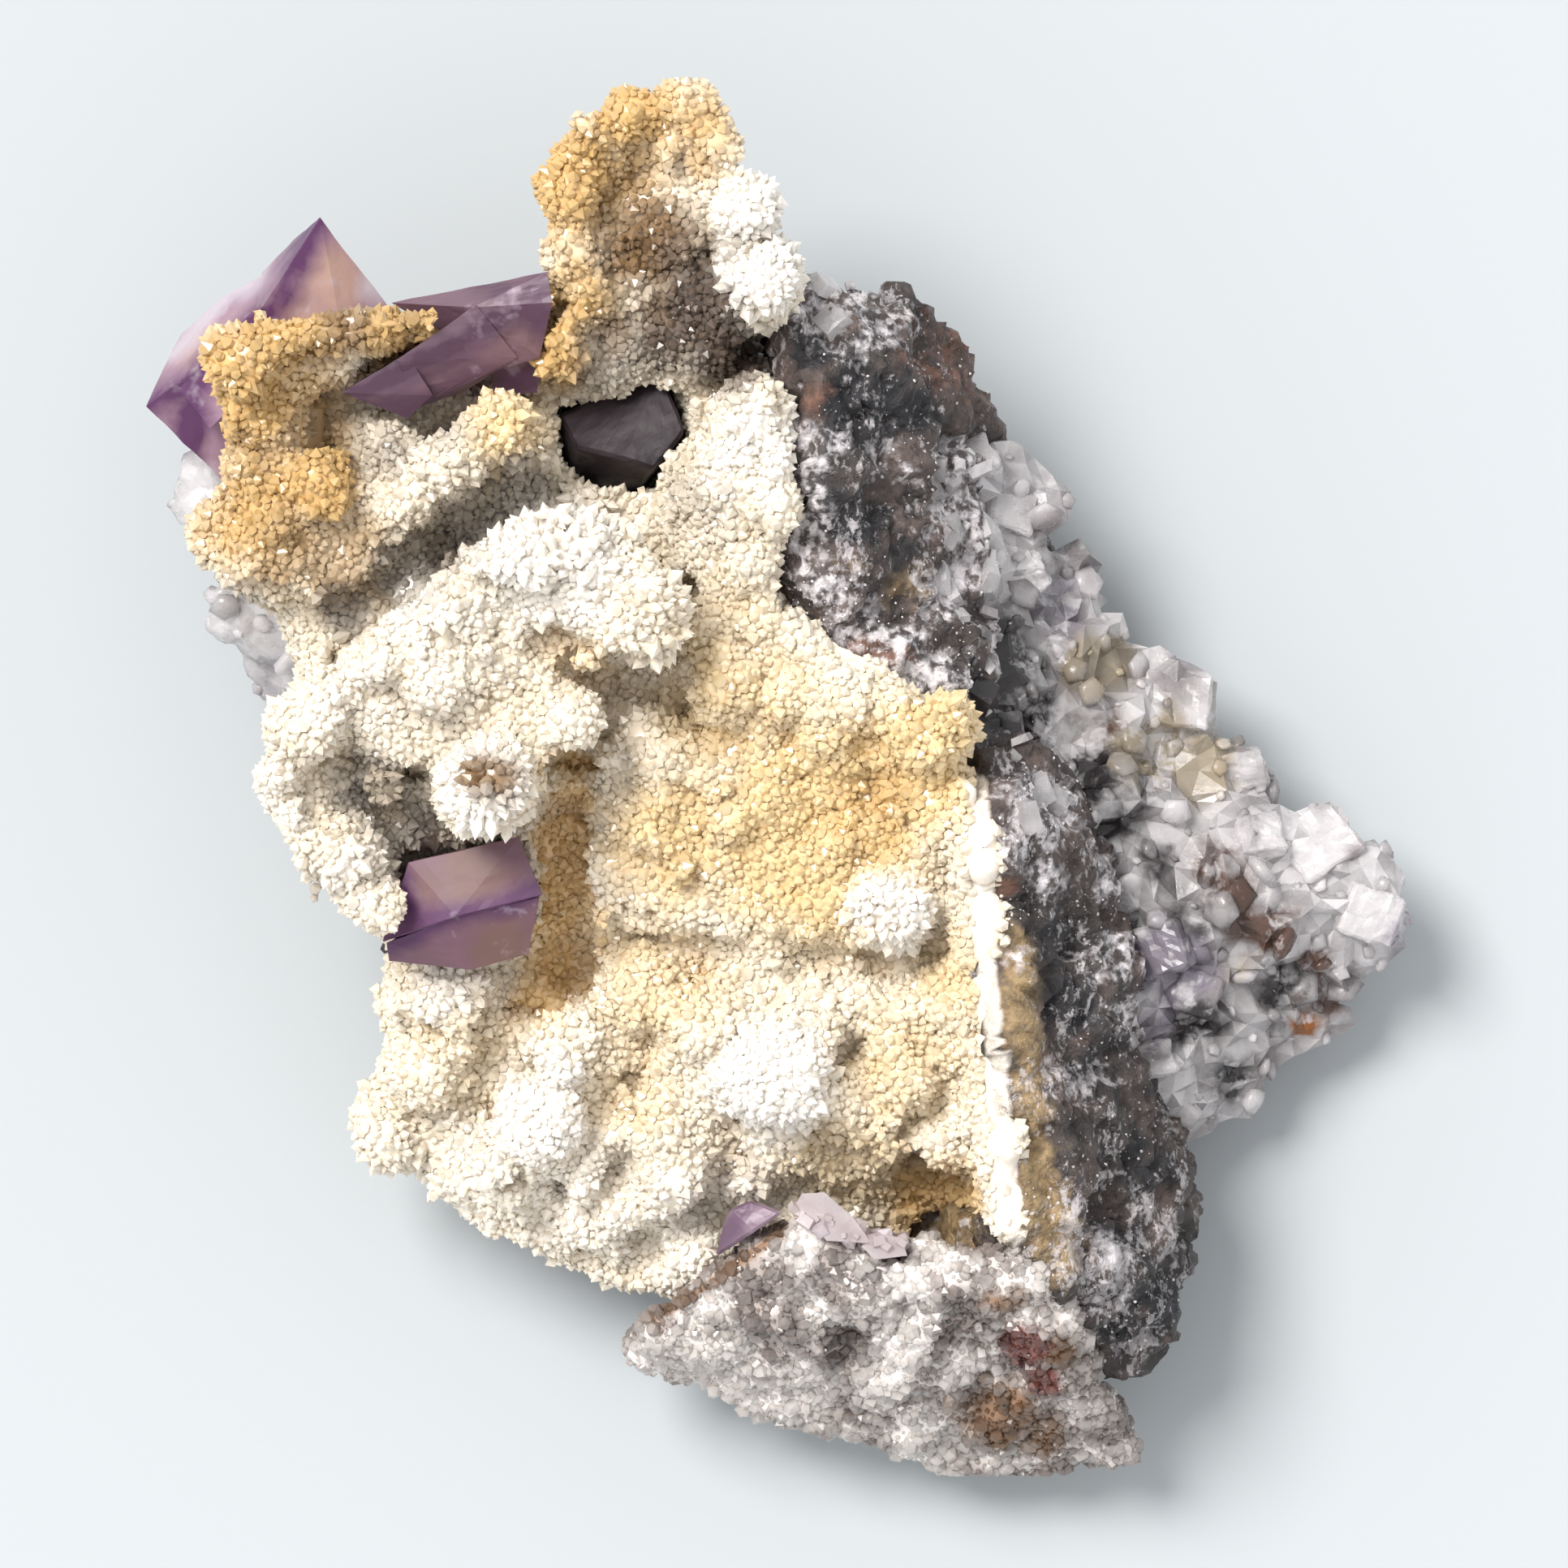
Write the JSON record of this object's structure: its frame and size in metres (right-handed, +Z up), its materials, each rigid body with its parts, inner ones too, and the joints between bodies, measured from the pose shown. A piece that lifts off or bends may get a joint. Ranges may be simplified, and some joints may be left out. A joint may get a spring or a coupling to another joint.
{
  "type": "mineral specimen",
  "caption": "Cabinet specimen of purple fluorite crystals in a white and golden quartz druse on dark rock, with broken walls and a flat resting back.",
  "frame": {"origin": "centre of the specimen's bounding box, on the plane of its flat back", "axes": "+Z up from the surface it rests on, +Y towards the druse's horn, +X towards the broken rock wall"},
  "size_m": [0.0812, 0.0892, 0.0407],
  "materials": {
    "rock": "rough broken rock, dark grey-brown with pale flecks",
    "druse": "glassy small quartz points, white to golden yellow",
    "purple_fluorite": "clear to cloudy purple crystal with flat faces",
    "pale_fluorite": "massive, broken, pale grey-lavender, satin",
    "sugary_quartz": "sugary and broken, white and grey with brown stain"
  },
  "bodies": {
    "root": {"rock_matrix": "rock", "quartz_druse": "druse", "fluorite_left": "purple_fluorite", "fluorite_top": "purple_fluorite", "fluorite_recess": "purple_fluorite", "fluorite_lower": "purple_fluorite", "fluorite_small": "purple_fluorite", "fluorite_front": "purple_fluorite", "pale_fluorite": "pale_fluorite", "pale_fluorite_left": "pale_fluorite", "broken_quartz": "sugary_quartz"}
  },
  "joints": []
}
